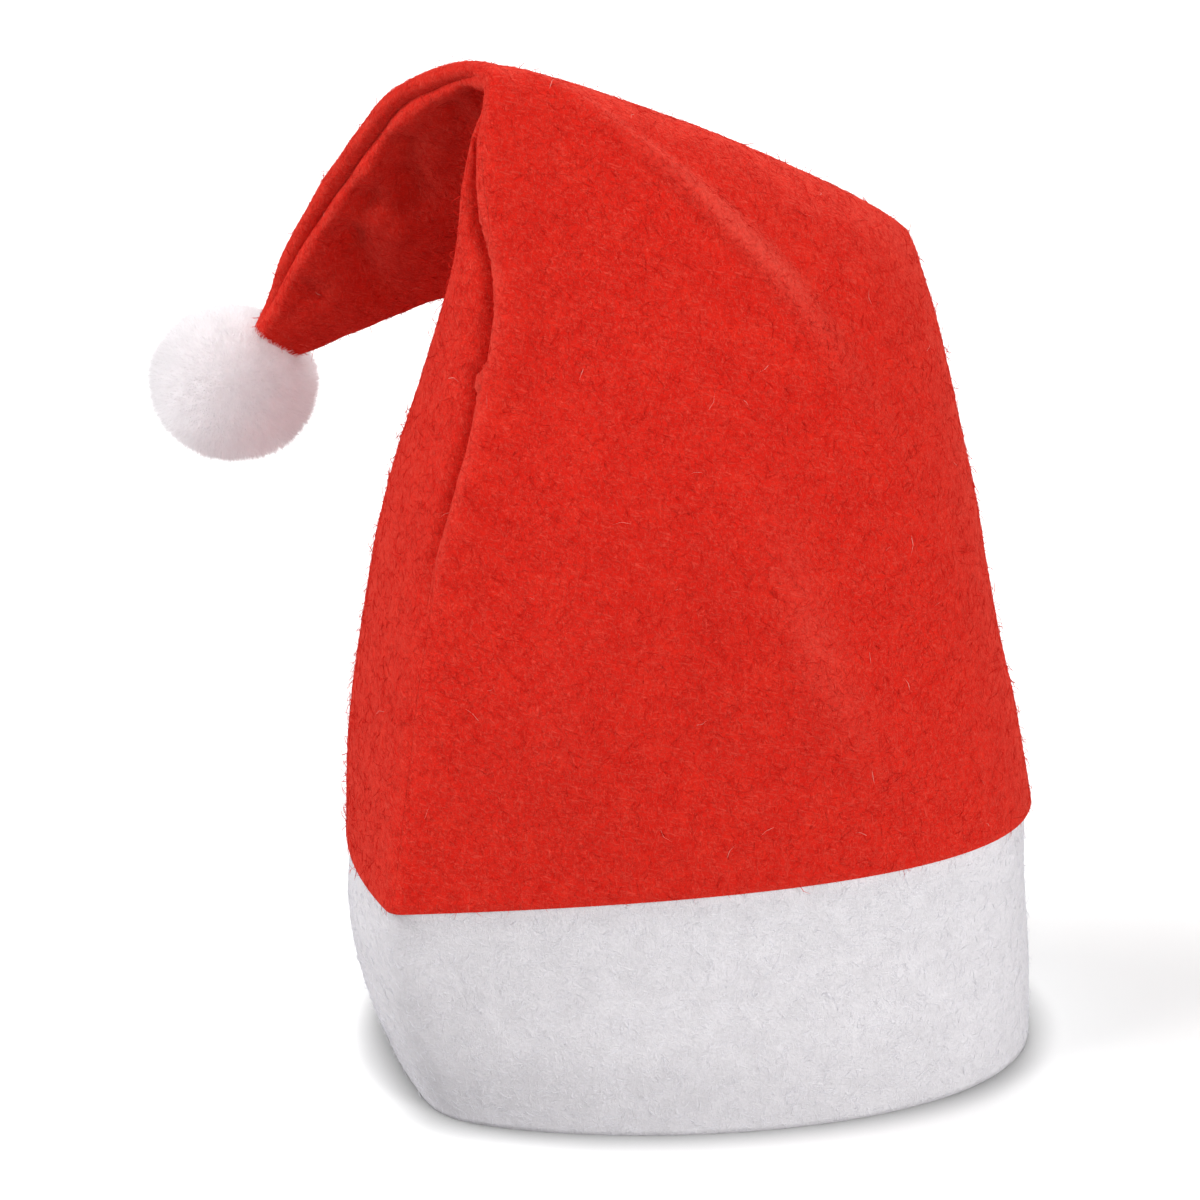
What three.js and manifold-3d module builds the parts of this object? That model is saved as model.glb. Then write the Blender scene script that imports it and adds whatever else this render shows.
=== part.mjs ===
// Felt santa hat: a tall two-panel crown folded over backward, a white band and a pompom.
// Millimetres, +Z up. The hat stands on the lower edge of its band.

import * as THREE from 'three';
import Module from 'manifold-3d';

const wasm = await Module();
wasm.setup();

// Driving dimensions
const HEAD_WIDTH = 220;
const HEAD_DEPTH = 150;
const CROWN_RISE = 240;
const BAND_HEIGHT = 80;
const BAND_TUCK = 8;
const CROWN_FELT = 1.8;
const BAND_FELT = 2;
const CLOTH_GAP = 0.3;
const SEAM_GROOVE = 2.2;
const SEAM_ROLL = 5;
const NARROW_GROOVE_SHARE = 0.06;
const POMPOM_WIDTH = 54;
const POMPOM_HEIGHT = 50;
const POMPOM_LOCK = 6;
const LOCK_WIDTH = 14;
const BALL_SWELL = 1;

// How finely the felt is divided: steps between two sections, and columns from seam to seam,
// which crowd towards the seams, where the felt rolls in
const CROWN_STEPS = 2;
const BAND_STEPS = 2;
const COLUMNS = 24;
const SEAM_CROWDING = 0.55;

// The band holds the lower edge of the crown smooth over this many sections.
// Folds and seam grooves come in above it.
const HELD_SECTIONS = 0.35;

// A fold fades out past both its ends, by this share of its length
const FOLD_FADE = 0.3;

// Tufts of the pompom in rings from its top to its underside, and the shape of one tuft
const LOCK_ROWS = [1, 5, 8, 9, 9, 8, 5, 1];
const LOCK_SIDES = 5;
const LOCK_ROOT_DEPTH = 0.3;
const LOCK_SHOULDER = { height: 0.8, width: 0.62 };
const LOCK_UNEVENNESS = 0.14;
const ROW_SPIN = 0.4;

// Sections of the crown, from its lower edge over the fold to the tip.
// left and right are the two side seams: x of HEAD_WIDTH, y of HEAD_DEPTH, z of CROWN_RISE.
// turn is how far the front panel has rolled over backward, in degrees.
// front and back are the two handles that pull each panel out between the seams:
// along the line between the seams as a share of it, and away from it as a share of HEAD_DEPTH.
const CROWN_SECTIONS = [
  // left x, y, z | right x, y, z | turn | front along, out, along, out | back along, out, along, out
  [-0.275, -0.447, 0.000, 0.455, 0.440, 0.000, 0, 0.47, 0.477, 1.06, 0.900, 0.09, 0.665, 0.65, 0.893],
  [-0.255, -0.407, 0.154, 0.464, 0.393, 0.129, 0, 0.42, 0.433, 1.04, 0.805, 0.01, 0.700, 0.68, 0.720],
  [-0.232, -0.367, 0.312, 0.468, 0.347, 0.262, 0, 0.38, 0.387, 1.00, 0.690, -0.02, 0.720, 0.70, 0.560],
  [-0.198, -0.313, 0.475, 0.464, 0.307, 0.392, 3, 0.36, 0.340, 0.98, 0.570, -0.09, 0.620, 0.66, 0.493],
  [-0.155, -0.227, 0.629, 0.450, 0.273, 0.517, 6, 0.36, 0.287, 0.97, 0.460, -0.18, 0.420, 0.58, 0.373],
  [-0.132, -0.167, 0.758, 0.436, 0.247, 0.617, 12, 0.36, 0.227, 0.95, 0.360, -0.25, 0.233, 0.60, 0.227],
  [-0.143, -0.127, 0.867, 0.427, 0.220, 0.679, 22, 0.30, 0.167, 0.92, 0.240, -0.19, 0.120, 0.60, 0.120],
  [-0.151, -0.100, 0.933, 0.425, 0.207, 0.708, 42, 0.16, 0.115, 0.88, 0.140, -0.07, 0.073, 0.70, 0.060],
  [-0.157, -0.060, 0.971, 0.418, 0.203, 0.723, 78, 0.04, 0.080, 0.84, 0.076, 0.20, 0.047, 0.70, 0.040],
  [-0.177, -0.007, 0.964, 0.382, 0.233, 0.717, 118, -0.05, 0.090, 0.78, 0.060, 0.30, 0.040, 0.70, 0.033],
  [-0.214, 0.047, 0.942, 0.300, 0.267, 0.700, 142, -0.09, 0.113, 0.74, 0.060, 0.30, 0.047, 0.70, 0.040],
  [-0.266, 0.113, 0.904, 0.164, 0.307, 0.671, 150, -0.13, 0.120, 0.74, 0.053, 0.30, 0.053, 0.70, 0.047],
  [-0.318, 0.187, 0.833, -0.014, 0.340, 0.642, 153, -0.15, 0.113, 0.74, 0.053, 0.30, 0.053, 0.70, 0.047],
  [-0.370, 0.253, 0.758, -0.191, 0.360, 0.613, 154, -0.17, 0.107, 0.76, 0.047, 0.30, 0.047, 0.70, 0.040],
  [-0.414, 0.307, 0.688, -0.323, 0.387, 0.558, 154, -0.18, 0.080, 0.78, 0.037, 0.30, 0.040, 0.70, 0.033],
  [-0.448, 0.347, 0.625, -0.395, 0.407, 0.525, 154, -0.10, 0.047, 0.80, 0.030, 0.30, 0.030, 0.70, 0.027],
  [-0.470, 0.373, 0.582, -0.432, 0.413, 0.510, 154, 0.00, 0.033, 0.80, 0.027, 0.30, 0.023, 0.70, 0.023],
  [-0.495, 0.400, 0.533, -0.464, 0.427, 0.496, 154, 0.10, 0.027, 0.85, 0.023, 0.25, 0.020, 0.75, 0.020],
];

// Sections of the band below the crown, in the same columns, z of BAND_HEIGHT.
const BAND_SECTIONS = [
  [-0.227, -0.333, 0.000, 0.491, 0.453, 0.000, 0, 0.15, 0.407, 1.06, 1.053, 0.10, 0.807, 0.52, 0.813],
  [-0.250, -0.397, 0.325, 0.482, 0.453, 0.325, 0, 0.25, 0.443, 1.05, 1.000, 0.08, 0.787, 0.55, 0.840],
  [-0.266, -0.433, 0.675, 0.464, 0.447, 0.675, 0, 0.38, 0.463, 1.05, 0.945, 0.07, 0.740, 0.60, 0.867],
];

// The pocket in the pompom follows the last sections of the crown.
const POCKET_SECTIONS = 3;

// Where the ball of the pompom sits: x of HEAD_WIDTH, y of HEAD_DEPTH, z of CROWN_RISE.
const POMPOM_PLACE = [-0.517, 0.427, 0.483];

// Soft folds and dents. They run from one place on a panel to another.
// row counts sections of the crown from its lower edge, across runs from the left seam (0)
// to the right seam (1), width is a share of that way and lift a share of HEAD_DEPTH.
const FOLDS = [
  // panel, row from, row to, across from, across to, width, lift
  ['front', 2.6, 6.9, 0.030, 0.025, 0.025, 0.014],
  ['front', 3.6, 7.8, 0.565, 0.235, 0.035, 0.032],
  ['front', 0.4, 3.9, 0.470, 0.350, 0.050, 0.026],
  ['front', 0.2, 3.0, 0.255, 0.285, 0.045, -0.024],
  ['front', 0.3, 2.8, 0.120, 0.160, 0.050, 0.016],
  ['back', 10.2, 11.8, 0.150, 0.300, 0.060, -0.010],
  ['back', 11.6, 13.0, 0.180, 0.360, 0.060, -0.010],
  ['back', 12.9, 14.3, 0.200, 0.420, 0.060, -0.008],
];

const materials = {
  redFront: { color: '#d42d22', roughness: 0.95, metalness: 0 },
  redBack: { color: '#c92a20', roughness: 0.95, metalness: 0 },
  white: { color: '#dedde2', roughness: 0.95, metalness: 0 },
  fluff: { color: '#f1eef0', roughness: 1, metalness: 0 },
};

function namedMesh(name, geometry, look) {
  const mesh = new THREE.Mesh(geometry, new THREE.MeshStandardMaterial(look));
  mesh.name = name;
  return mesh;
}

// Turns the shares of a table into millimetres above the floor.
function sized(rows, floor, rise) {
  return rows.map((row) => [
    row[0] * HEAD_WIDTH, row[1] * HEAD_DEPTH, floor + row[2] * rise,
    row[3] * HEAD_WIDTH, row[4] * HEAD_DEPTH, floor + row[5] * rise,
    row[6],
    row[7], row[8] * HEAD_DEPTH, row[9], row[10] * HEAD_DEPTH,
    row[11], row[12] * HEAD_DEPTH, row[13], row[14] * HEAD_DEPTH,
  ]);
}

// Smooth value between the rows of a table, passing through each of them.
function between(rows, place) {
  const last = rows.length - 1;
  const index = Math.min(Math.floor(place), last - 1);
  const f = place - index;
  const b = rows[index];
  const c = rows[index + 1];
  const a = index > 0 ? rows[index - 1] : b.map((value, k) => 2 * value - c[k]);
  const d = index < last - 1 ? rows[index + 2] : c.map((value, k) => 2 * value - b[k]);
  return b.map((value, k) => 0.5 * (
    2 * value
    + (c[k] - a[k]) * f
    + (2 * a[k] - 5 * value + 4 * c[k] - d[k]) * f * f
    + (3 * value - a[k] - 3 * c[k] + d[k]) * f * f * f
  ));
}

// One section: its seams, its directions and the curve of each panel.
function section(row) {
  const left = new THREE.Vector3(row[0], row[1], row[2]);
  const right = new THREE.Vector3(row[3], row[4], row[5]);
  const across = right.clone().sub(left);
  const direction = across.clone().normalize();
  const level = new THREE.Vector3(direction.y, -direction.x, 0).normalize();
  const raised = level.clone().cross(direction);
  const turn = THREE.MathUtils.degToRad(row[6]);
  const out = level.multiplyScalar(Math.cos(turn)).addScaledVector(raised, Math.sin(turn));
  const panel = (k, side) => new THREE.CubicBezierCurve3(
    left,
    left.clone().addScaledVector(across, row[k]).addScaledVector(out, side * row[k + 1]),
    left.clone().addScaledVector(across, row[k + 2]).addScaledVector(out, side * row[k + 3]),
    right,
  );
  return { left, right, direction, out, front: panel(7, 1), back: panel(11, -1) };
}

function columnPlace(column) {
  const even = column / COLUMNS;
  return even - SEAM_CROWDING * Math.sin(2 * Math.PI * even) / (2 * Math.PI);
}

function foldLift(panel, row, across) {
  let lift = 0;
  for (const [side, rowFrom, rowTo, acrossFrom, acrossTo, width, height] of FOLDS) {
    const along = (row - rowFrom) / (rowTo - rowFrom);
    if (side !== panel || along <= -FOLD_FADE || along >= 1 + FOLD_FADE) {
      continue;
    }
    const centre = acrossFrom + (acrossTo - acrossFrom) * along;
    const fade = Math.sin(Math.PI * (along + FOLD_FADE) / (1 + 2 * FOLD_FADE)) ** 2;
    const away = (across - centre) / width;
    lift += height * HEAD_DEPTH * fade * Math.exp(-away * away);
  }
  return lift;
}

// The middle of a panel's felt as a grid of points, with the seams rolled in and the folds raised.
function panelGrid(rows, panel) {
  const side = panel === 'front' ? 1 : -1;
  const grid = [];
  const cuts = [];
  for (let step = 0; step <= (rows.length - 1) * CROWN_STEPS; step += 1) {
    const place = step / CROWN_STEPS;
    const cut = section(between(rows, place));
    const width = cut.left.distanceTo(cut.right);
    const free = THREE.MathUtils.smoothstep(place, HELD_SECTIONS, 4 * HELD_SECTIONS);
    const groove = free * Math.min(SEAM_GROOVE, NARROW_GROOVE_SHARE * width);
    const line = [];
    for (let column = 0; column <= COLUMNS; column += 1) {
      const across = columnPlace(column);
      const point = cut[panel].getPoint(across);
      const fromLeft = across * width / SEAM_ROLL;
      const fromRight = (1 - across) * width / SEAM_ROLL;
      const inward = groove * (Math.exp(-fromLeft * fromLeft) - Math.exp(-fromRight * fromRight));
      point.addScaledVector(cut.direction, inward);
      point.addScaledVector(cut.out, side * free * foldLift(panel, place, across));
      line.push(point);
    }
    grid.push(line);
    cuts.push(cut);
  }
  return { grid, cuts, side };
}

// The two faces of a panel's felt, half its thickness either way.
// Neither face passes the line between the seams, so the two panels meet and don't cross.
function feltFaces({ grid, cuts, side }, felt) {
  const half = felt / 2;
  const clear = CLOTH_GAP / 2;
  const outer = [];
  const inner = [];
  grid.forEach((line, row) => {
    const above = grid[Math.min(row + 1, grid.length - 1)];
    const below = grid[Math.max(row - 1, 0)];
    const cut = cuts[row];
    const faceLines = [[], []];
    line.forEach((point, column) => {
      const ends = column === 0 || column === COLUMNS;
      const next = line[Math.min(column + 1, COLUMNS)];
      const previous = line[Math.max(column - 1, 0)];
      const normal = next.clone().sub(previous)
        .cross(above[column].clone().sub(below[column]))
        .multiplyScalar(side)
        .normalize();
      const outward = ends ? cut.direction.clone().multiplyScalar(column === 0 ? -1 : 1) : normal;
      [1, -1].forEach((face, k) => {
        const moved = point.clone().addScaledVector(outward, face * half);
        const away = moved.clone().sub(cut.left).dot(cut.out) * side;
        if (ends || away < clear) {
          moved.addScaledVector(cut.out, side * (clear - away));
        }
        faceLines[k].push(moved);
      });
    });
    outer.push(faceLines[0]);
    inner.push(faceLines[1]);
  });
  return { outer, inner };
}

// Joins grids of points into triangles.
class Skin {
  constructor() {
    this.points = [];
    this.triangles = [];
  }

  add(grid) {
    return grid.map((line) => line.map((point) => this.points.push(point) - 1));
  }

  quad(a, b, c, d) {
    this.triangles.push(a, b, c, a, c, d);
  }

  strip(lower, upper) {
    for (let k = 0; k + 1 < lower.length; k += 1) {
      this.quad(lower[k], lower[k + 1], upper[k + 1], upper[k]);
    }
  }

  geometry() {
    const geometry = new THREE.BufferGeometry();
    const positions = this.points.flatMap((point) => [point.x, point.y, point.z]);
    geometry.setAttribute('position', new THREE.Float32BufferAttribute(positions, 3));
    geometry.setIndex(this.triangles);
    if (volume(geometry) < 0) {
      geometry.setIndex(this.triangles.slice().reverse());
    }
    return geometry;
  }
}

function volume(geometry) {
  const position = geometry.getAttribute('position');
  const index = geometry.getIndex();
  const corner = (k) => new THREE.Vector3().fromBufferAttribute(position, index.getX(k));
  let total = 0;
  for (let k = 0; k < index.count; k += 3) {
    total += corner(k).dot(corner(k + 1).cross(corner(k + 2))) / 6;
  }
  return total;
}

// A sheet of felt with four edges.
function sheetGeometry({ outer, inner }) {
  const skin = new Skin();
  const front = skin.add(outer);
  const back = skin.add(inner);
  const last = front.length - 1;
  for (let row = 0; row < last; row += 1) {
    skin.strip(front[row], front[row + 1]);
    skin.strip(back[row].slice().reverse(), back[row + 1].slice().reverse());
  }
  const edge = (grid, column) => grid.map((line) => line[column]);
  skin.strip(back[0], front[0]);
  skin.strip(front[last], back[last]);
  skin.strip(edge(back, 0).reverse(), edge(front, 0).reverse());
  skin.strip(edge(back, COLUMNS), edge(front, COLUMNS));
  return skin.geometry();
}

// A closed loop round one section, moved in or out by a distance.
function loop(cut, distance) {
  const round = [];
  for (let column = 0; column < COLUMNS; column += 1) {
    round.push(cut.front.getPoint(columnPlace(column)));
  }
  for (let column = COLUMNS; column > 0; column -= 1) {
    round.push(cut.back.getPoint(columnPlace(column)));
  }
  const plane = cut.out.clone().cross(cut.direction);
  return round.map((point, k) => {
    const next = round[(k + 1) % round.length].clone().sub(point).normalize();
    const previous = point.clone().sub(round[(k + round.length - 1) % round.length]).normalize();
    const tangent = next.clone().add(previous).normalize();
    const normal = tangent.cross(plane).normalize();
    const corner = Math.max(0.6, Math.sqrt((1 + next.dot(previous)) / 2));
    return point.clone().addScaledVector(normal, distance / corner);
  });
}

// A tube through closed loops, with an inner wall when it is hollow and flat ends when it isn't.
function tubeGeometry(outerLoops, innerLoops) {
  const skin = new Skin();
  const closed = (lines) => lines.map((line) => [...line, line[0]]);
  const outer = closed(skin.add(outerLoops));
  const last = outer.length - 1;
  for (let row = 0; row < last; row += 1) {
    skin.strip(outer[row], outer[row + 1]);
  }
  if (innerLoops) {
    const inner = closed(skin.add(innerLoops));
    for (let row = 0; row < last; row += 1) {
      skin.strip(inner[row + 1], inner[row]);
    }
    skin.strip(inner[0], outer[0]);
    skin.strip(outer[last], inner[last]);
    return skin.geometry();
  }
  for (const [line, reverse] of [[outer[0], true], [outer[last], false]]) {
    const middle = new THREE.Vector3();
    line.slice(1).forEach((k) => middle.add(skin.points[k]));
    const centre = skin.points.push(middle.divideScalar(line.length - 1)) - 1;
    for (let k = 0; k + 1 < line.length; k += 1) {
      skin.triangles.push(...(reverse ? [centre, line[k + 1], line[k]] : [centre, line[k], line[k + 1]]));
    }
  }
  return skin.geometry();
}

const crownRows = sized(CROWN_SECTIONS, BAND_HEIGHT, CROWN_RISE);
const bandRows = sized(BAND_SECTIONS, 0, BAND_HEIGHT);

function crownPanel(panel) {
  return sheetGeometry(feltFaces(panelGrid(crownRows, panel), CROWN_FELT));
}

// The band runs up inside the crown's lower edge, a gap clear of its inner face.
function bandGeometry() {
  const inset = CROWN_FELT / 2 + CLOTH_GAP + BAND_FELT / 2;
  const rows = [...bandRows, crownRows[0]];
  const tuckPlace = BAND_TUCK / (crownRows[1][2] - crownRows[0][2]);
  const cuts = [];
  for (let step = 0; step <= (rows.length - 1) * BAND_STEPS; step += 1) {
    cuts.push(section(between(rows, step / BAND_STEPS)));
  }
  cuts.push(section(between(crownRows, tuckPlace)));
  const outer = cuts.map((cut) => loop(cut, BAND_FELT / 2 - inset));
  const inner = cuts.map((cut) => loop(cut, -BAND_FELT / 2 - inset));
  return tubeGeometry(outer, inner);
}

function solid(geometry) {
  const mesh = new wasm.Mesh({
    numProp: 3,
    vertProperties: new Float32Array(geometry.getAttribute('position').array),
    triVerts: new Uint32Array(geometry.getIndex().array),
  });
  return new wasm.Manifold(mesh);
}

function fromSolid(body) {
  const mesh = body.getMesh();
  const geometry = new THREE.BufferGeometry();
  geometry.setAttribute('position', new THREE.BufferAttribute(new Float32Array(mesh.vertProperties), 3));
  geometry.setIndex(new THREE.BufferAttribute(new Uint32Array(mesh.triVerts), 1));
  return geometry;
}

// Turns a geometry made along Z towards a direction, squashes it as the pompom is, and places it.
function placed(geometry, middle, direction) {
  const spin = new THREE.Quaternion().setFromUnitVectors(new THREE.Vector3(0, 0, 1), direction);
  return geometry
    .applyQuaternion(spin)
    .scale(1, 1, POMPOM_HEIGHT / POMPOM_WIDTH)
    .translate(middle.x, middle.y, middle.z);
}

// One tuft of the pompom: a blunt cone that starts near the centre of the ball.
function lockSolid(middle, direction, reach) {
  const ballRadius = POMPOM_WIDTH / 2 - POMPOM_LOCK;
  const ring = (radius, height) => {
    const line = [];
    for (let k = 0; k < LOCK_SIDES; k += 1) {
      const angle = 2 * Math.PI * k / LOCK_SIDES;
      line.push(new THREE.Vector3(radius * Math.cos(angle), radius * Math.sin(angle), height));
    }
    return line;
  };
  const skin = new Skin();
  const [base, shoulder] = skin.add([
    ring(LOCK_WIDTH / 2, ballRadius),
    ring(LOCK_SHOULDER.width * LOCK_WIDTH / 2, ballRadius + LOCK_SHOULDER.height * reach),
  ]).map((line) => [...line, line[0]]);
  skin.strip(base, shoulder);
  const tip = skin.points.push(new THREE.Vector3(0, 0, ballRadius + reach)) - 1;
  const foot = skin.points.push(new THREE.Vector3(0, 0, LOCK_ROOT_DEPTH * ballRadius)) - 1;
  for (let k = 0; k < LOCK_SIDES; k += 1) {
    skin.triangles.push(tip, shoulder[k], shoulder[k + 1]);
    skin.triangles.push(foot, base[k + 1], base[k]);
  }
  return solid(placed(skin.geometry(), middle, direction));
}

// The pocket that the crown's tip sits in: the tip's own outline, a gap wider all round.
function tipPocket() {
  const clear = CROWN_FELT / 2 + CLOTH_GAP;
  const last = crownRows.length - 1;
  const cuts = [];
  for (let step = POCKET_SECTIONS * CROWN_STEPS; step >= 0; step -= 1) {
    cuts.push(section(between(crownRows, last - step / CROWN_STEPS)));
  }
  const loops = cuts.map((cut) => loop(cut, clear + CLOTH_GAP));
  const end = cuts[cuts.length - 1].left.clone().sub(cuts[cuts.length - 2].left).normalize();
  loops.push(loops[loops.length - 1].map((point) => point.clone().addScaledVector(end, clear)));
  return solid(tubeGeometry(loops));
}

function pompomGeometry() {
  const middle = new THREE.Vector3(
    POMPOM_PLACE[0] * HEAD_WIDTH,
    POMPOM_PLACE[1] * HEAD_DEPTH,
    BAND_HEIGHT + POMPOM_PLACE[2] * CROWN_RISE,
  );
  const ball = new THREE.IcosahedronGeometry(POMPOM_WIDTH / 2 - POMPOM_LOCK + BALL_SWELL, 1);
  const ballSkin = new Skin();
  const seen = new Map();
  const corners = ball.getAttribute('position');
  for (let k = 0; k < corners.count; k += 1) {
    const point = new THREE.Vector3().fromBufferAttribute(corners, k);
    const key = point.toArray().map((value) => value.toFixed(3)).join();
    if (!seen.has(key)) {
      seen.set(key, ballSkin.points.push(point) - 1);
    }
    ballSkin.triangles.push(seen.get(key));
  }
  let body = solid(placed(ballSkin.geometry(), middle, new THREE.Vector3(0, 0, 1)));
  LOCK_ROWS.forEach((count, row) => {
    const tilt = Math.PI * (row + 0.5) / LOCK_ROWS.length;
    for (let k = 0; k < count; k += 1) {
      const angle = 2 * Math.PI * (k + 0.5 * (row % 2)) / count + ROW_SPIN * row;
      const direction = new THREE.Vector3().setFromSphericalCoords(1, tilt, angle);
      const reach = POMPOM_LOCK * (1 - LOCK_UNEVENNESS * (1 - Math.sin(5 * angle + 2 * row)));
      body = body.add(lockSolid(middle, direction, reach));
    }
  });
  return fromSolid(body.subtract(tipPocket()));
}

const hat = new THREE.Group();
hat.add(namedMesh('crown_front_panel', crownPanel('front'), materials.redFront));
hat.add(namedMesh('crown_back_panel', crownPanel('back'), materials.redBack));
hat.add(namedMesh('band', bandGeometry(), materials.white));
hat.add(namedMesh('pompom', pompomGeometry(), materials.fluff));

// The origin is on the floor, under the middle of everything.
const extent = new THREE.Box3().setFromObject(hat);
const middle = extent.getCenter(new THREE.Vector3());
hat.position.set(-middle.x, -middle.y, -extent.min.z);

export default hat;
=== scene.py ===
# %% [markdown]
# # A felt santa hat, built the way it is sewn
#
# The hat is two triangles of thin red felt sewn together along both sides, a straight strip of
# white felt round the lower edge and a ball of white fibres on the tip. The crown stands up by
# itself and its top falls over backward, so the tip hangs beside the body.
#
# Such a hat could be sculpted, or dropped as flat cloth on a head in a simulation. Here the felt
# is lofted through a few sections instead: felt is stiff, it keeps the folds that it
# was given, and a loft puts each of them exactly where it belongs.

# %% Load the imported model
import math

import bpy
import numpy as np
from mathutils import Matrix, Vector


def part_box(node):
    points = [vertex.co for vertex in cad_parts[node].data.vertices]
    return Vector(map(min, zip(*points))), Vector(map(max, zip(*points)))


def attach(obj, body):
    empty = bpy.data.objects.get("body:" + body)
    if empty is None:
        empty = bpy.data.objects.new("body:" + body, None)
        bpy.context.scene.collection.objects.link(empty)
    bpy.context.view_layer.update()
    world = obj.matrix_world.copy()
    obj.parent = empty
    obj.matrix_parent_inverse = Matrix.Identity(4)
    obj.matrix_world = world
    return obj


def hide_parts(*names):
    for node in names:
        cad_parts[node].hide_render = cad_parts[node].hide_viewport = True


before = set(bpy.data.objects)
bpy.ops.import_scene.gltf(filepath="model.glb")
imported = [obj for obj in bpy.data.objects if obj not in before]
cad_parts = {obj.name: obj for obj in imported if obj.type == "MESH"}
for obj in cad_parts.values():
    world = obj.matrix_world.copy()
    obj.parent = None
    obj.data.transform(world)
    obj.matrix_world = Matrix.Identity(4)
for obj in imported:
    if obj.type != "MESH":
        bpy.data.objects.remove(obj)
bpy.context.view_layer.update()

# %% [markdown]
# ## Sizes
#
# A hat is described by a few sizes that a maker would write on a pattern: how wide and deep the
# opening is, how tall the crown and the band are, how thick the felt is. The sections below are
# shares of these, so the same hat can be made in another size.

# %% Driving sizes, in metres
MM = 0.001
HEAD_WIDTH = 220 * MM
HEAD_DEPTH = 150 * MM
CROWN_RISE = 240 * MM
BAND_HEIGHT = 80 * MM
BAND_TUCK = 8 * MM
CROWN_FELT = 1.8 * MM
BAND_FELT = 2.0 * MM
CLOTH_GAP = 0.3 * MM
print("band", round(BAND_HEIGHT / MM), "mm tall, crown", round(CROWN_RISE / MM), "mm above it")

# %% [markdown]
# ## Sections of the hat
#
# Each row is one cut across the hat, from the left seam to the right seam. The first six columns
# say where the two seams are. Turn says how far the front panel has rolled over backward: 0 on
# the standing body and about 154 degrees on the hanging flap. The last eight are the two handles
# of a Bezier curve for the front panel and two for the back one: how far along the line between
# the seams, and how far out from it. A curve with four points gives the even swell of bent felt.

# %% Section tables
CROWN_SECTIONS = [
    # left x, y, z, right x, y, z, turn, front along, out, along, out, back along, out, along, out
    [-0.275, -0.447, 0.000, 0.455, 0.440, 0.000, 0, 0.47, 0.477, 1.06, 0.900, 0.09, 0.665, 0.65, 0.893],
    [-0.255, -0.407, 0.154, 0.464, 0.393, 0.129, 0, 0.42, 0.433, 1.04, 0.805, 0.01, 0.700, 0.68, 0.720],
    [-0.232, -0.367, 0.312, 0.468, 0.347, 0.262, 0, 0.38, 0.387, 1.00, 0.690, -0.02, 0.720, 0.70, 0.560],
    [-0.198, -0.313, 0.475, 0.464, 0.307, 0.392, 3, 0.36, 0.340, 0.98, 0.570, -0.09, 0.620, 0.66, 0.493],
    [-0.155, -0.227, 0.629, 0.450, 0.273, 0.517, 6, 0.36, 0.287, 0.97, 0.460, -0.18, 0.420, 0.58, 0.373],
    [-0.132, -0.167, 0.758, 0.436, 0.247, 0.617, 12, 0.36, 0.227, 0.95, 0.360, -0.25, 0.233, 0.60, 0.227],
    [-0.143, -0.127, 0.867, 0.427, 0.220, 0.679, 22, 0.30, 0.167, 0.92, 0.240, -0.19, 0.120, 0.60, 0.120],
    [-0.151, -0.100, 0.933, 0.425, 0.207, 0.708, 42, 0.16, 0.115, 0.88, 0.140, -0.07, 0.073, 0.70, 0.060],
    [-0.157, -0.060, 0.971, 0.418, 0.203, 0.723, 78, 0.04, 0.080, 0.84, 0.076, 0.20, 0.047, 0.70, 0.040],
    [-0.177, -0.007, 0.964, 0.382, 0.233, 0.717, 118, -0.05, 0.090, 0.78, 0.060, 0.30, 0.040, 0.70, 0.033],
    [-0.214, 0.047, 0.942, 0.300, 0.267, 0.700, 142, -0.09, 0.113, 0.74, 0.060, 0.30, 0.047, 0.70, 0.040],
    [-0.266, 0.113, 0.904, 0.164, 0.307, 0.671, 150, -0.13, 0.120, 0.74, 0.053, 0.30, 0.053, 0.70, 0.047],
    [-0.318, 0.187, 0.833, -0.014, 0.340, 0.642, 153, -0.15, 0.113, 0.74, 0.053, 0.30, 0.053, 0.70, 0.047],
    [-0.370, 0.253, 0.758, -0.191, 0.360, 0.613, 154, -0.17, 0.107, 0.76, 0.047, 0.30, 0.047, 0.70, 0.040],
    [-0.414, 0.307, 0.688, -0.323, 0.387, 0.558, 154, -0.18, 0.080, 0.78, 0.037, 0.30, 0.040, 0.70, 0.033],
    [-0.448, 0.347, 0.625, -0.395, 0.407, 0.525, 154, -0.10, 0.047, 0.80, 0.030, 0.30, 0.030, 0.70, 0.027],
    [-0.470, 0.373, 0.582, -0.432, 0.413, 0.510, 154, 0.00, 0.033, 0.80, 0.027, 0.30, 0.023, 0.70, 0.023],
    [-0.495, 0.400, 0.533, -0.464, 0.427, 0.496, 154, 0.10, 0.027, 0.85, 0.023, 0.25, 0.020, 0.75, 0.020],
]
BAND_SECTIONS = [
    [-0.227, -0.333, 0.000, 0.491, 0.453, 0.000, 0, 0.15, 0.407, 1.06, 1.053, 0.10, 0.807, 0.52, 0.813],
    [-0.250, -0.397, 0.325, 0.482, 0.453, 0.325, 0, 0.25, 0.443, 1.05, 1.000, 0.08, 0.787, 0.55, 0.840],
    [-0.266, -0.433, 0.675, 0.464, 0.447, 0.675, 0, 0.38, 0.463, 1.05, 0.945, 0.07, 0.740, 0.60, 0.867],
]
POMPOM_PLACE = [-0.517, 0.427, 0.483]


def sized(rows, floor, rise):
    """The shares of a table turned to metres above the floor."""
    scale = [HEAD_WIDTH, HEAD_DEPTH, rise] * 2 + [1] + [1, HEAD_DEPTH] * 4
    table = np.array(rows, float) * np.array(scale)
    table[:, [2, 5]] += floor
    return table


crown_rows = sized(CROWN_SECTIONS, BAND_HEIGHT, CROWN_RISE)
band_rows = np.vstack([sized(BAND_SECTIONS, 0, BAND_HEIGHT), crown_rows[:1]])
print(len(crown_rows), "crown sections,", len(band_rows), "band sections")

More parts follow.
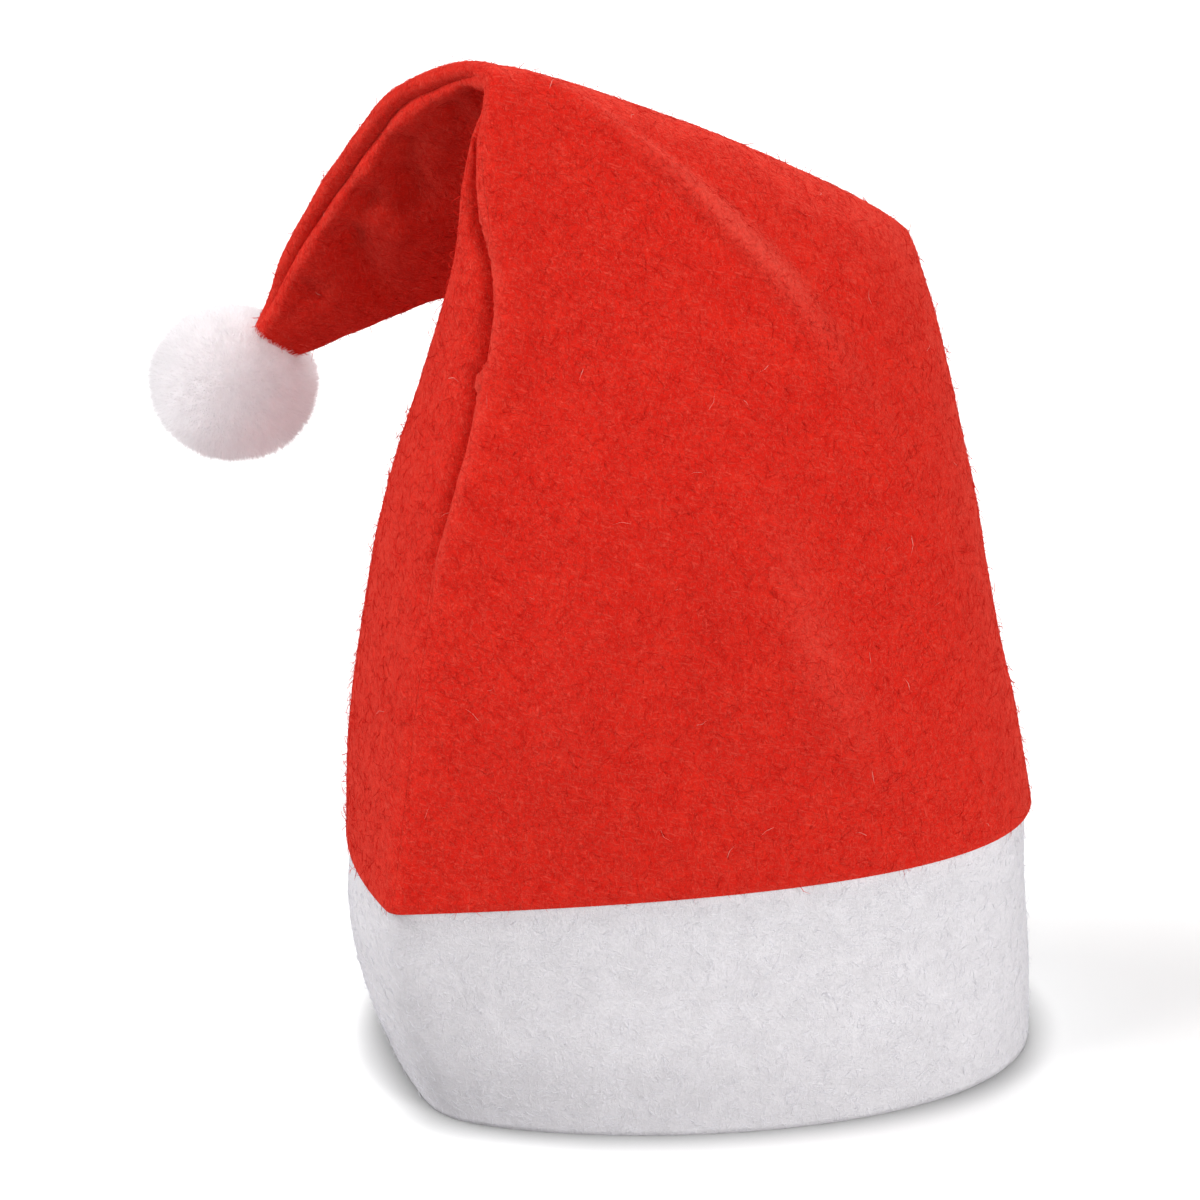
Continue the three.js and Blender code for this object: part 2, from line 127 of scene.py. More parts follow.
# %% [markdown]
# ## From a few sections to a smooth surface
#
# Between two rows of the table a Catmull-Rom spline gives every value a smooth path through all
# of them. Blender's Bridge Edge Loops could join the sections too, but plain array code lets the
# same few lines serve the felt, the band and the fibres that later stand on them.

# %% Sections and curves
def between(rows, places):
    """Table values at fractional row numbers."""
    padded_rows = np.vstack([2 * rows[:1] - rows[1:2], rows, 2 * rows[-1:] - rows[-2:-1]])
    places = np.atleast_1d(np.asarray(places, float))
    index = np.minimum(places.astype(int), len(rows) - 2)
    f = (places - index)[:, None]
    a, b, c, d = (padded_rows[index + k] for k in range(4))
    square = 2 * a - 5 * b + 4 * c - d
    cube = 3 * b - a - 3 * c + d
    return 0.5 * (2 * b + (c - a) * f + square * f**2 + cube * f**3)


def unit(vectors):
    """Vectors scaled to length 1, safe for one of length 0."""
    return vectors / np.maximum(np.linalg.norm(vectors, axis=-1, keepdims=True), 1e-12)


def sections(values):
    """Seam points, the direction between them and the way out, for each row of values."""
    left, right = values[:, 0:3], values[:, 3:6]
    direction = unit(right - left)
    level = unit(np.stack([direction[:, 1], -direction[:, 0], np.zeros(len(values))], 1))
    turn = np.radians(values[:, 6:7])
    out = level * np.cos(turn) + np.cross(level, direction) * np.sin(turn)
    return left, right, direction, out


def panel_curves(values, panel, across):
    """Points of one panel's curve in each section, at the given places across."""
    left, right, _, out = sections(values)
    side, k = (1, 7) if panel == "front" else (-1, 11)
    chord = right - left
    handle_a = left + chord * values[:, k:k + 1] + side * out * values[:, k + 1:k + 2]
    handle_b = left + chord * values[:, k + 2:k + 3] + side * out * values[:, k + 3:k + 4]
    t = np.asarray(across)[None, :, None]
    corners = [p[:, None, :] for p in (left, handle_a, handle_b, right)]
    weights = [(1 - t)**3, 3 * (1 - t)**2 * t, 3 * (1 - t) * t**2, t**3]
    return sum(w * p for w, p in zip(weights, corners))


edge_width = np.linalg.norm(crown_rows[0, 3:6] - crown_rows[0, 0:3])
print("seam to seam at the crown's lower edge, mm", round(float(edge_width) / MM))

# %% [markdown]
# ## Closed loops and soft corners
#
# The two panels meet in a corner at each side seam. Thick felt can't turn a sharp corner: it
# rounds it over several millimetres. A short quadratic Bezier curve from one panel to the other
# does that, and its reach says how soft the corner is.

# %% Loops round the hat
SEAM_CROWDING = 0.8
CORNER_SHARE = 0.3


def crowded(columns):
    """Places from 0 to 1 that crowd towards both seams, where the small shapes are."""
    even = np.linspace(0, 1, columns + 1)
    return even - SEAM_CROWDING * np.sin(2 * np.pi * even) / (2 * np.pi)


def lengths(points):
    """Way along each row of points, from its first column."""
    steps = np.linalg.norm(np.diff(points, axis=1), axis=-1)
    return np.concatenate([np.zeros((len(points), 1)), np.cumsum(steps, axis=1)], 1)


def round_corner(front, back, reaches):
    """Rounds the corner between two grids whose first columns are the same seam."""
    way_front, way_back = lengths(front), lengths(back)
    for row, reach in enumerate(reaches):
        reach = min(reach, CORNER_SHARE * way_front[row, -1], CORNER_SHARE * way_back[row, -1])
        corner = front[row, 0].copy()
        ends = [
            np.array([np.interp(reach, way[row], grid[row, :, k]) for k in range(3)])
            for way, grid in ((way_front, front), (way_back, back))
        ]
        for grid, way, near, far in ((front, way_front, *ends), (back, way_back, *ends[::-1])):
            inside = way[row] < reach
            t = (0.5 - 0.5 * way[row][inside] / reach)[:, None]
            grid[row, inside] = (1 - t)**2 * near + 2 * t * (1 - t) * corner + t**2 * far


def joined(front, back):
    """One closed loop in each row: the front from left to right, then the back to the left."""
    return np.concatenate([front, back[:, -2:0:-1]], 1)


def tangents_and_normals(loop):
    """The way along each loop, and the way straight out of the surface."""
    ahead = unit(np.roll(loop, -1, 1) - np.roll(loop, 1, 1))
    up = np.gradient(loop, axis=0)
    return ahead, unit(np.cross(ahead, up))


print("places across a panel with 8 columns", crowded(8).round(2))

# %% [markdown]
# ## The hat's place in the frame
#
# The tables are written round the middle of the head. The frame has its origin under the middle
# of the whole hat, flap and pompom included. The band's box is known in both, so it gives the
# shift from one to the other.

# %% Band loops and the shift
BAND_ROWS = 44
BAND_COLUMNS = 130
TUCK_ROWS = 5
BAND_CORNER = 9 * MM
BAND_WAVE = 0.5 * MM
BAND_WAVE_LENGTH = 60 * MM
band_inset = CROWN_FELT / 2 + CLOTH_GAP + BAND_FELT / 2


def waves(points, wavelength, seed, count=7):
    """Soft unevenness in space: a few sine waves in different directions, from -1 to 1."""
    chance = np.random.default_rng(seed)
    total = np.zeros(points.shape[:-1])
    for _ in range(count):
        way = unit(chance.normal(size=3))
        length = wavelength * chance.uniform(0.7, 1.5)
        total += np.sin(points @ way * 2 * np.pi / length + chance.uniform(0, 2 * np.pi))
    return total / count


def band_loop(values):
    """The band's middle in each section, as closed loops."""
    across = crowded(BAND_COLUMNS)
    front = panel_curves(values, "front", across)
    back = panel_curves(values, "back", across)
    round_corner(front, back, [BAND_CORNER] * len(values))
    return joined(front, back)


top_place = BAND_TUCK / (crown_rows[1, 2] - crown_rows[0, 2])
band_middle = np.concatenate([
    band_loop(between(band_rows, np.linspace(0, len(band_rows) - 1, BAND_ROWS))),
    band_loop(between(crown_rows, np.linspace(0, top_place, TUCK_ROWS + 1)[1:])),
])
band_normal = tangents_and_normals(band_middle)[1]
band_normal[..., 2] = 0
band_normal = unit(band_normal)
band_middle = band_middle - band_normal * band_inset
# The felt is held at both edges and loosest halfway up, where this parabola reaches 1.
share_up = band_middle[..., 2] / BAND_HEIGHT
loose = np.clip(4 * share_up * (1 - share_up), 0, 1)
uneven = waves(band_middle, BAND_WAVE_LENGTH, seed=3) * BAND_WAVE * loose
band_middle = band_middle + band_normal * uneven[..., None]
band_outer = band_middle + band_normal * BAND_FELT / 2
band_inner = band_middle - band_normal * BAND_FELT / 2

flat_outer = band_outer.reshape(-1, 3)
packed_box = np.array([list(corner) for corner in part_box("band")])
SHIFT = packed_box.mean(0) - (flat_outer.min(0) + flat_outer.max(0)) / 2
SHIFT[2] = 0
band_outer, band_inner = band_outer + SHIFT, band_inner + SHIFT
print("shift of the tables in the frame, mm", (SHIFT / MM).round(2))

# %% [markdown]
# ## Camera
#
# The hat is seen from the front and a little above, from far enough away that its upright lines
# hardly lean: a long lens. The camera comes early, so that every later look can be compared.

# %% Camera
CAMERA_DISTANCE = 1.100
CAMERA_PITCH = math.radians(24)
CAMERA_LENS = 110
SENSOR_WIDTH = 36
NEAR_LIMIT = 0.05
AIM_HEIGHT = 150 * MM
camera_target = np.array([0, 0, AIM_HEIGHT]) + SHIFT
towards_camera = np.array([0, -math.cos(CAMERA_PITCH), math.sin(CAMERA_PITCH)])
camera_data = bpy.data.cameras.new("camera")
camera_data.lens = CAMERA_LENS
camera_data.sensor_width = SENSOR_WIDTH
camera_data.clip_start = NEAR_LIMIT
camera = bpy.data.objects.new("camera", camera_data)
camera.location = camera_target + towards_camera * CAMERA_DISTANCE
camera.rotation_euler = (math.pi / 2 - CAMERA_PITCH, 0, 0)
bpy.context.collection.objects.link(camera)
bpy.context.scene.camera = camera
print("camera at", tuple(round(c, 4) for c in camera.location))

# %% [markdown]
# ## Folds and dents
#
# Felt has a few soft folds where the crown was pressed flat in its packet and where the top
# leans over. Each row here is one of them: it runs from one place on a panel to another and
# raises or lowers the felt along the way. The CAD solids have the same folds.

# %% Fold table
FOLD_FADE = 0.3
FOLDS = [
    # panel, row from, row to, across from, across to, width, lift
    ("front", 2.6, 6.9, 0.030, 0.025, 0.025, 0.014),
    ("front", 3.6, 7.8, 0.565, 0.235, 0.035, 0.032),
    ("front", 0.4, 3.9, 0.470, 0.350, 0.050, 0.026),
    ("front", 0.2, 3.0, 0.255, 0.285, 0.045, -0.024),
    ("front", 0.3, 2.8, 0.120, 0.160, 0.050, 0.016),
    ("back", 10.2, 11.8, 0.150, 0.300, 0.060, -0.010),
    ("back", 11.6, 13.0, 0.180, 0.360, 0.060, -0.010),
    ("back", 12.9, 14.3, 0.200, 0.420, 0.060, -0.008),
]


def fold_lift(panel, row, across):
    """How far the folds raise the felt, for a grid of rows and places across."""
    lift = np.zeros(np.broadcast(row, across).shape)
    for side, row_from, row_to, from_across, to_across, width, height in FOLDS:
        if side != panel:
            continue
        along = (row - row_from) / (row_to - row_from)
        inside = (along > -FOLD_FADE) & (along < 1 + FOLD_FADE)
        fade = np.sin(np.pi * (along + FOLD_FADE) / (1 + 2 * FOLD_FADE))**2
        centre = from_across + (to_across - from_across) * along
        lift += np.where(inside, height * HEAD_DEPTH * fade * np.exp(-((across - centre) / width)**2), 0)
    return lift


print(len(FOLDS), "folds")

# %% [markdown]
# ## The felt of the crown
#
# The middle of the felt is one closed loop in each section. On the real hat the side seams are
# what shapes it most: on the flap the seam lies in a narrow valley between two puffed edges, and
# on the left of the body the front panel rolls over the seam like a lip and hides it. This table
# says, for places along the left seam, how soft the corner is and how high these shapes are.

# %% Left seam table, lengths in mm
LEFT_SEAM = [
    # row, corner, valley, puff, lip, recess, slide
    (0.0, 3, 0.0, 0.0, 0.0, 0.0, 0.0),
    (1.0, 8, 0.0, 0.0, 0.0, 0.0, 0.0),
    (2.3, 8, 0.0, 0.0, 0.0, 0.0, -1.0),
    (2.7, 7, 0.0, 0.0, 0.8, 1.5, -0.8),
    (3.1, 6, 0.0, 0.0, 1.5, 2.6, 1.3),
    (3.6, 5, 0.0, 0.0, 1.8, 3.2, 2.2),
    (3.9, 4, 0.0, 0.0, 1.8, 3.2, 1.7),
    (4.02, 4, 0.0, 0.0, 1.8, 3.0, 0.0),
    (4.12, 4, 0.0, 0.0, 1.8, 3.0, 0.4),
    (4.22, 4, 0.0, 0.0, 2.0, 3.2, 2.7),
    (4.6, 4, 0.0, 0.0, 2.2, 3.8, 2.4),
    (5.0, 4, 0.0, 0.0, 2.3, 4.0, 0.8),
    (5.5, 4, 0.0, 0.0, 2.2, 4.0, -2.2),
    (6.0, 4, 0.0, 0.0, 1.7, 3.2, -1.6),
    (6.5, 4, 0.2, 0.1, 1.0, 2.0, -1.0),
    (7.0, 4, 0.8, 0.3, 0.5, 1.0, 0.0),
    (7.6, 4, 2.0, 0.7, 0.0, 0.0, 0.0),
    (9.0, 4, 2.8, 1.1, 0.0, 0.0, 0.0),
    (13.0, 4, 2.8, 1.1, 0.0, 0.0, 0.0),
    (15.0, 3, 1.6, 0.5, 0.0, 0.0, 0.0),
    (17.0, 1, 0.2, 0.0, 0.0, 0.0, 0.0),
]
# Where the seam's stitches draw the felt in, it sinks into pits beside the valley of the flap.
# Shallow dimples lie in the front panel where the lip is kinked and beside the seam's lower end.
# A depth below 0 makes the felt stand proud.
PITS = [
    # row, way from the left seam in mm (below 0 on the back panel), reach and depth in mm
    (9.5, -8, 5.4, 3.8),
    (10.3, -9, 5.6, 3.2),
    (11.5, -8, 5.4, 4.6),
    (11.8, -13, 5.8, 3.6),
    (12.0, -19, 6.2, 2.6),
    (12.1, -5, 3.4, -0.9),
    (12.5, -9, 5.2, 4.4),
    (12.6, -21, 6.6, -2.0),
    (13.2, -12, 6.0, 4.8),
    (13.3, -20, 6.4, 3.6),
    (13.4, -29, 6.4, 2.4),
    (14.3, -10, 4.6, 2.8),
    (3.97, 3.5, 2.2, 2.0),
    (3.85, 7.5, 2.8, 2.2),
    (0.42, 7, 3.0, 1.0),
    (0.66, 16, 4.0, 1.0),
]
RIGHT_CORNER = 6 * MM
RIGHT_VALLEY = 0.7 * MM
VALLEY_REACH = 1.6 * MM
PUFF_PLACE, PUFF_REACH = 4.5 * MM, 2.6 * MM
LIP_REACH, RECESS_REACH, LIP_EDGE = 7 * MM, 4.5 * MM, 0.7 * MM
OVERHANG, OVERHANG_REACH = 1.2 * MM, 1.6 * MM
FULL_LIP = 2 * MM
PUCKER_LENGTH = 16 * MM
PUCKER_REACH = 9 * MM
PUCKER_DEPTH = 0.7 * MM
UNEVEN_LENGTH = 40 * MM
UNEVEN_DEPTH = 0.4 * MM
# A crease that was pressed into the felt stays a little proud. Its crest and the lip's edge are
# painted paler: partly rubbed fibres, partly a painted highlight.
CREASE_RISE = 0.7 * MM
CREASE_SHARPNESS = 4
LIP_HIGHLIGHT_AND_WEAR, LIP_HIGHLIGHT_AND_WEAR_REACH = 0.5, 1.5 * MM
print(len(LEFT_SEAM), "rows for the left seam,", len(PITS), "pits")


def seam_values(places):
    """The left seam's table at every row, with lengths in metres."""
    table = np.array(LEFT_SEAM)
    return [np.interp(places, table[:, 0], table[:, k])[:, None] * MM for k in range(1, 7)]


# %% [markdown]
# ## Panels and folds as one loop
#
# Two separate sheets would part at the seams as soon as their edges are moved. So both panels
# are worked out first, joined into one closed loop in each section, and cut apart again only
# when the meshes are made. Near the lower edge the band holds the felt, so the folds fade there.

# %% Felt with its folds
ROWS_PER_SECTION = 12
FINE_COLUMNS = 140
HELD_SECTIONS = 0.35


def smoothstep(x, low, high):
    """Rises smoothly from 0 at low to 1 at high."""
    t = np.clip((x - low) / (high - low), 0, 1)
    return t * t * (3 - 2 * t)


places = np.linspace(0, len(crown_rows) - 1, (len(crown_rows) - 1) * ROWS_PER_SECTION + 1)
across = crowded(FINE_COLUMNS)
values = between(crown_rows, places)
out_ways = sections(values)[3]
corner, valley, puff, lip, recess, slide = seam_values(places)
free = smoothstep(places, HELD_SECTIONS, 4 * HELD_SECTIONS)[:, None]

panels, creases = {}, {}
for panel, side in (("front", 1), ("back", -1)):
    points = panel_curves(values, panel, across)
    lift = side * free * fold_lift(panel, places[:, None], across[None, :])
    panels[panel] = points + lift[..., None] * out_ways[:, None, :]
    share = np.maximum(side * lift, 0) / max((side * lift).max(), MM)
    creases[panel] = (share**CREASE_SHARPNESS)[..., None]
front, back = panels["front"], panels["back"]
round_corner(front, back, corner[:, 0])
round_corner(front[:, ::-1], back[:, ::-1], [RIGHT_CORNER] * len(places))
loop = joined(front, back)
crease = joined(creases["front"], creases["back"])[..., 0]
print("crown loops:", loop.shape[0], "rows of", loop.shape[1], "points")

# %% [markdown]
# ## Heights along the seams
#
# The stitches of a seam draw the felt in, and it puffs up beside them. Sculpting could do this
# by hand. Here every point knows how far it lies from each seam, and humps and valleys that
# depend on that way are added up, then the felt is moved straight out by the sum.

# %% Seam shapes, pits and puckers
def bump(way, reach):
    """A soft hump: 1 in the middle, and nearly 0 beyond twice its reach."""
    return np.exp(-(way / reach)**2)


way_front = lengths(front)
way_back = lengths(back)
left_way = joined(way_front, -way_back)
right_way = joined(way_front[:, -1:] - way_front, way_back[:, -1:] - way_back)

# The lip's own place along the loop: it wanders a few millimetres to either side of the seam.
lip_way = left_way - slide
over = smoothstep(lip_way, -LIP_EDGE, LIP_EDGE)
height = lip * over * bump(np.maximum(lip_way, 0), LIP_REACH)
height = height - recess * (1 - over) * bump(np.minimum(lip_way, 0), RECESS_REACH)
height = height - valley * bump(left_way, VALLEY_REACH)
height = height + puff * bump(np.abs(left_way) - PUFF_PLACE, PUFF_REACH)
height = height - RIGHT_VALLEY * free * bump(right_way, VALLEY_REACH)
for row, way, reach, depth in PITS:
    line = int(round(row * ROWS_PER_SECTION))
    spot = loop[line, np.abs(left_way[line] - way * MM).argmin()]
    sunk = bump(np.linalg.norm(loop - spot, axis=-1), reach * MM)
    height = height - depth * MM * sunk * (left_way * way > 0)
near_seam = bump(left_way, PUCKER_REACH) + bump(right_way, PUCKER_REACH)
height = height + free * PUCKER_DEPTH * near_seam * waves(loop, PUCKER_LENGTH, seed=11)
height = height + free * UNEVEN_DEPTH * waves(loop, UNEVEN_LENGTH, seed=5)
height = height + CREASE_RISE * crease
print("felt moved by", round(height.min() / MM, 1), "to", round(height.max() / MM, 1), "mm")

# %% [markdown]
# ## From the middle to both faces
#
# The lip doesn't only stand up, it also leans over the seam, so its crest is pushed sideways. On
# its edge and on the creases the felt is painted paler, partly rubbed fibres and partly a painted
# highlight, and that is kept for the material. Then the middle of the felt gives two faces, half
# the felt's thickness to either side.

# %% Both faces of the crown felt
# Painted highlight and wear: how much paler the felt is painted on fold crests and the lip's edge.
highlight_and_wear = np.maximum(crease, LIP_HIGHLIGHT_AND_WEAR * lip / lip.max() * bump(lip_way - LIP_EDGE, LIP_HIGHLIGHT_AND_WEAR_REACH))
roll = -OVERHANG * (lip / FULL_LIP) * bump(lip_way - LIP_EDGE, OVERHANG_REACH)
ahead, normal = tangents_and_normals(loop)
middle = loop + normal * height[..., None] + ahead * roll[..., None]
normal = tangents_and_normals(middle)[1]
outer_loop = middle + normal * CROWN_FELT / 2 + SHIFT
inner_loop = middle - normal * CROWN_FELT / 2 + SHIFT
print("crown felt:", outer_loop.shape[0], "rows of", outer_loop.shape[1], "points on each face")

# %% [markdown]
# ## Sheets with a thickness
#
# Cut felt shows its edge. The Solidify modifier would give a flat surface a thickness, but its
# rim is square. These helpers build the outer face, the inner face and a rounded edge between
# them as one closed mesh.

# %% Building a sheet of felt
EDGE_STEPS = 3
EDGE_BULGE = 0.6


def new_piece(name, points, quads):
    """A smooth mesh object in the scene, from its points and faces."""
    mesh = bpy.data.meshes.new(name)
    mesh.from_pydata(points.reshape(-1, 3).tolist(), [], quads)
    mesh.update()
    mesh.polygons.foreach_set("use_smooth", [True] * len(mesh.polygons))
    piece = bpy.data.objects.new(name, mesh)
    bpy.context.collection.objects.link(piece)
    print(f"{name}: {len(mesh.vertices)} points, {sum(len(q) - 2 for q in quads)} triangles")
    return piece


def grid_quads(number):
    """Quads of a grid of point numbers whose last row joins up with its first."""
    number = np.vstack([number, number[:1]])
    corners = [number[:-1, :-1], number[:-1, 1:], number[1:, 1:], number[1:, :-1]]
    return np.stack(corners, -1).reshape(-1, 4).tolist()


def rounded_edge(outer, inner, down):
    """Points that round the edge of a sheet from its inner face to its outer one."""
    centre, half = (outer + inner) / 2, (outer - inner) / 2
    reach = np.linalg.norm(half, axis=-1, keepdims=True)
    angles = math.pi * np.arange(1, EDGE_STEPS + 1) / (EDGE_STEPS + 1)
    bulge = [down * reach * math.sin(a) * EDGE_BULGE for a in angles]
    return np.array([centre - half * math.cos(a) + b for a, b in zip(angles, bulge)])


def sheet_piece(name, outer, inner):
    """One closed sheet of felt: outer face, tip edge, inner face and the rounded lower edge."""
    edge = rounded_edge(outer[0], inner[0], unit(outer[0] - outer[1]))
    ring = np.concatenate([outer, inner[::-1], edge])
    number = np.arange(ring.shape[0] * ring.shape[1]).reshape(ring.shape[:2])
    quads = grid_quads(number)
    count = len(outer)
    for column, order in ((0, 1), (-1, -1)):
        line = [int(k) for k in number[:, column]]
        for row in range(count - 1):
            opposite = 2 * count - 1 - row
            quads.append([line[row], line[row + 1], line[opposite - 1], line[opposite]][::order])
        quads.append([line[0], *line[2 * count - 1:]][::order])
    return new_piece(name, ring, quads)


# %% [markdown]
# ## The two crown panels
#
# The loops are cut into the front and the back panel at the seams, each its own piece as on the
# sewing table. Every point also carries how much paler it is painted, partly wear and partly a
# painted highlight on creases and the lip's edge, as an attribute that the felt's material reads
# later: painting a picture for it would be more work and less exact.

# %% The two crown panels
SEAM_SLIT = 0.02 * MM


def half_columns(loop, first, count):
    """The columns of one panel out of the closed loops."""
    return loop[:, np.arange(first, first + count + 1) % loop.shape[1]].copy()


def half_loop(loop, first, count):
    """One panel out of the closed loops, with a hair's width left at its seams."""
    half = half_columns(loop, first, count)
    half[:, 0] += unit(half[:, 1] - half[:, 0]) * SEAM_SLIT
    half[:, -1] += unit(half[:, -2] - half[:, -1]) * SEAM_SLIT
    return half


crown_pieces, crown_faces = {}, {}
for panel, first in (("front", 0), ("back", FINE_COLUMNS)):
    outer = half_loop(outer_loop, first, FINE_COLUMNS)
    inner = half_loop(inner_loop, first, FINE_COLUMNS)
    crown_faces[panel] = outer
    crown_pieces[panel] = sheet_piece(f"crown_{panel}_felt", outer, inner)
    # Painted highlight and wear for each point of the outer face; the rest of the sheet has none.
    painted_highlight_and_wear = np.zeros(len(crown_pieces[panel].data.vertices))
    painted_highlight_and_wear[:outer.shape[0] * outer.shape[1]] = half_columns(highlight_and_wear, first, FINE_COLUMNS).reshape(-1)
    crown_pieces[panel].data.attributes.new("highlight_and_wear", "FLOAT", "POINT").data.foreach_set("value", painted_highlight_and_wear)
    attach(crown_pieces[panel], "root")
    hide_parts(f"crown_{panel}_panel")

# %% [markdown]
# ## The band
#
# The band is a straight strip of white felt with its ends joined, set inside the lower edge of
# the crown. It is one closed wall. The felt is a little wavy, because only the crown's edge
# holds it in shape.

# %% Band mesh
band_ring = np.concatenate([band_outer, band_inner[::-1]])
band_number = np.arange(band_ring.shape[0] * band_ring.shape[1]).reshape(band_ring.shape[:2])
band_number = np.hstack([band_number, band_number[:, :1]])
band = new_piece("band_felt", band_ring, grid_quads(band_number))
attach(band, "root")
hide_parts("band")

# %% [markdown]
# ## The pompom
#
# A pompom is a bunch of soft fibres tied in the middle and trimmed to a ball. Blender's hair
# system could grow them, but as plain ribbons in one mesh they look the same in every program.
# A slightly lumpy core closes the gaps deep inside, and tens of thousands of fine ribbons lean
# and curl a little, each its own way, so the outline is soft.

# %% Pompom core
POMPOM_WIDTH = 54 * MM
POMPOM_HEIGHT = 50 * MM
FIBRE_REACH = 5.8 * MM
FIBRE_OVERLAP = 1.5 * MM
LUMP_SHARE = 0.035
LUMP_LENGTH = 16 * MM
pompom_middle = np.array(POMPOM_PLACE) * [HEAD_WIDTH, HEAD_DEPTH, CROWN_RISE] + [0, 0, BAND_HEIGHT] + SHIFT
squash = np.array([1, 1, POMPOM_HEIGHT / POMPOM_WIDTH])
core_radius = POMPOM_WIDTH / 2 - FIBRE_REACH + FIBRE_OVERLAP


def lumpy(points):
    """How far out the slightly uneven ball lies, as a share, at points on a round one."""
    return 1 + LUMP_SHARE * waves(points, LUMP_LENGTH, seed=8)[:, None]


bpy.ops.mesh.primitive_ico_sphere_add(subdivisions=5, radius=core_radius)
core = bpy.context.object
core.name = "pompom_core"
core_points = np.array([v.co for v in core.data.vertices])
core_points = core_points * lumpy(core_points) * squash + pompom_middle
core.data.vertices.foreach_set("co", core_points.reshape(-1))
core.data.polygons.foreach_set("use_smooth", [True] * len(core.data.polygons))
core.data.update()
print("pompom core:", len(core_points), "points,", len(core.data.polygons), "triangles")

# %% [markdown]
# ## The pompom's fibres
#
# Each fibre is a tapered ribbon two faces long. It starts a little inside the core, leans its own
# way and curls. A ribbon has a fraction of a round hair's faces, and at this width nobody can
# tell them apart. A real pompom has many more fibres, each a few hundredths of a millimetre
# thick. These are wider on purpose, so that fewer of them cover the core. The felt of the flap's
# tip presses the fibres around it flat.

# %% Pompom fibres
POMPOM_FIBRES = 42000
FIBRE_WIDTH = 0.13 * MM
FIBRE_LENGTHS = (0.75, 1.12)
FIBRE_LEANS = (0.1, 0.75)
FIBRE_CURLS = (-0.5, 0.9)
ROOT_PLACE = 0.97
LOWER_SHARE, UPPER_SHARE = 0.55, 0.5
PRESSED_REACH = 14 * MM
PRESSED_SHARE = 0.6
FLOOR_CLEARANCE = 0.05 * MM


def ribbons(name, starts, middles, ends, widths):
    """Thin tapered ribbons, each two faces long: a quad and the triangle of its tip."""
    count = len(starts)
    points = np.stack([starts - widths, starts + widths, middles - widths, middles + widths, ends], 1)
    points[..., 2] = np.maximum(points[..., 2], FLOOR_CLEARANCE)
    first = (np.arange(count) * 5)[:, None]
    quads = (first + [0, 1, 3, 2]).tolist() + (first + [2, 3, 4]).tolist()
    return new_piece(name, points, quads)


chance = np.random.default_rng(21)
triples, singles = (POMPOM_FIBRES, 3), (POMPOM_FIBRES, 1)
ways = unit(chance.normal(size=triples))
side_ways = unit(np.cross(ways, unit(chance.normal(size=triples))))
lean = chance.uniform(*FIBRE_LEANS, singles)
length = FIBRE_REACH * chance.uniform(*FIBRE_LENGTHS, singles)
tip = unit((outer_loop[-1].mean(0) - pompom_middle) / squash) * core_radius
from_tip = np.linalg.norm(ways * core_radius - tip, axis=1, keepdims=True)
length = length * (1 - PRESSED_SHARE * bump(from_tip, PRESSED_REACH))
starts = ways * core_radius * ROOT_PLACE * lumpy(ways * core_radius)
bend = unit(ways + side_ways * lean)
curl = unit(bend + side_ways * chance.uniform(*FIBRE_CURLS, singles))
middles = starts + bend * length * LOWER_SHARE
ends = middles + curl * length * UPPER_SHARE
widths = unit(np.cross(bend, unit(chance.normal(size=triples)))) * FIBRE_WIDTH / 2
starts, middles, ends = (part * squash + pompom_middle for part in (starts, middles, ends))
fluff = ribbons("pompom_fibres", starts, middles, ends, widths)
for piece in (core, fluff):
    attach(piece, "root")
    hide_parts("pompom")

# %% [markdown]
# ## Loose fibres on the felt
#
# Needle-punched felt is a mat of short fibres. Most lie flat in random directions and give the
# surface its fine scribbled look, and a few stand up and blur the outline. They are made here as
# very thin ribbons that start on the surface: a bump alone would leave the outline knife-sharp.

# %% Surface fibres
LONG_SPREAD = (0.5, 1.4)
RISE_SPREAD = (0.2, 1.6)
CURVE_SPREAD = (-0.6, 0.6)
MIDDLE_CURVE, MIDDLE_RISE = 0.3, 0.8


def surface_fibres(name, grid, count, length, width, rise, seed, wrap=False):
    """Short ribbons scattered evenly over a grid of surface points."""
    pick = np.random.default_rng(seed)
    if wrap:
        grid = np.concatenate([grid, grid[:, :1]], 1)
    a, b, c, d = grid[:-1, :-1], grid[:-1, 1:], grid[1:, 1:], grid[1:, :-1]
    cross = np.cross(c - a, d - b)
    area = np.linalg.norm(cross, axis=-1) / 2
    cell = pick.choice(area.size, count, p=(area / area.sum()).reshape(-1))
    row, column = np.unravel_index(cell, area.shape)
    s, t = pick.uniform(size=(count, 1)), pick.uniform(size=(count, 1))
    a, b, c, d = (corner[row, column] for corner in (a, b, c, d))
    start = (a * (1 - s) + b * s) * (1 - t) + (d * (1 - s) + c * s) * t
    normal = unit(cross[row, column])
    flat = unit(np.cross(normal, unit(pick.normal(size=(count, 3)))))
    across = np.cross(normal, flat)
    long = length * pick.uniform(*LONG_SPREAD, (count, 1))
    up = rise * pick.uniform(*RISE_SPREAD, (count, 1))
    curve = pick.uniform(*CURVE_SPREAD, (count, 1))
    middle = start + (flat + across * curve * MIDDLE_CURVE) * long * 0.5 + normal * up * MIDDLE_RISE
    end = start + (flat + across * curve) * long + normal * up
    spin = pick.uniform(0, math.pi, (count, 1))
    widths = (across * np.cos(spin) + normal * np.sin(spin)) * width / 2
    return ribbons(name, start, middle, end, widths)


# %% [markdown]
# ## Fibres, strays and lint
#
# Three kinds lie on the crown: flat fibres that belong to the mat, strays that stand up, and a
# few pale threads of lint that came from somewhere else. The band has the first two. All are 0.1
# to 0.2 mm wide, coarser than real fibres, which are far finer than a pixel of the picture.

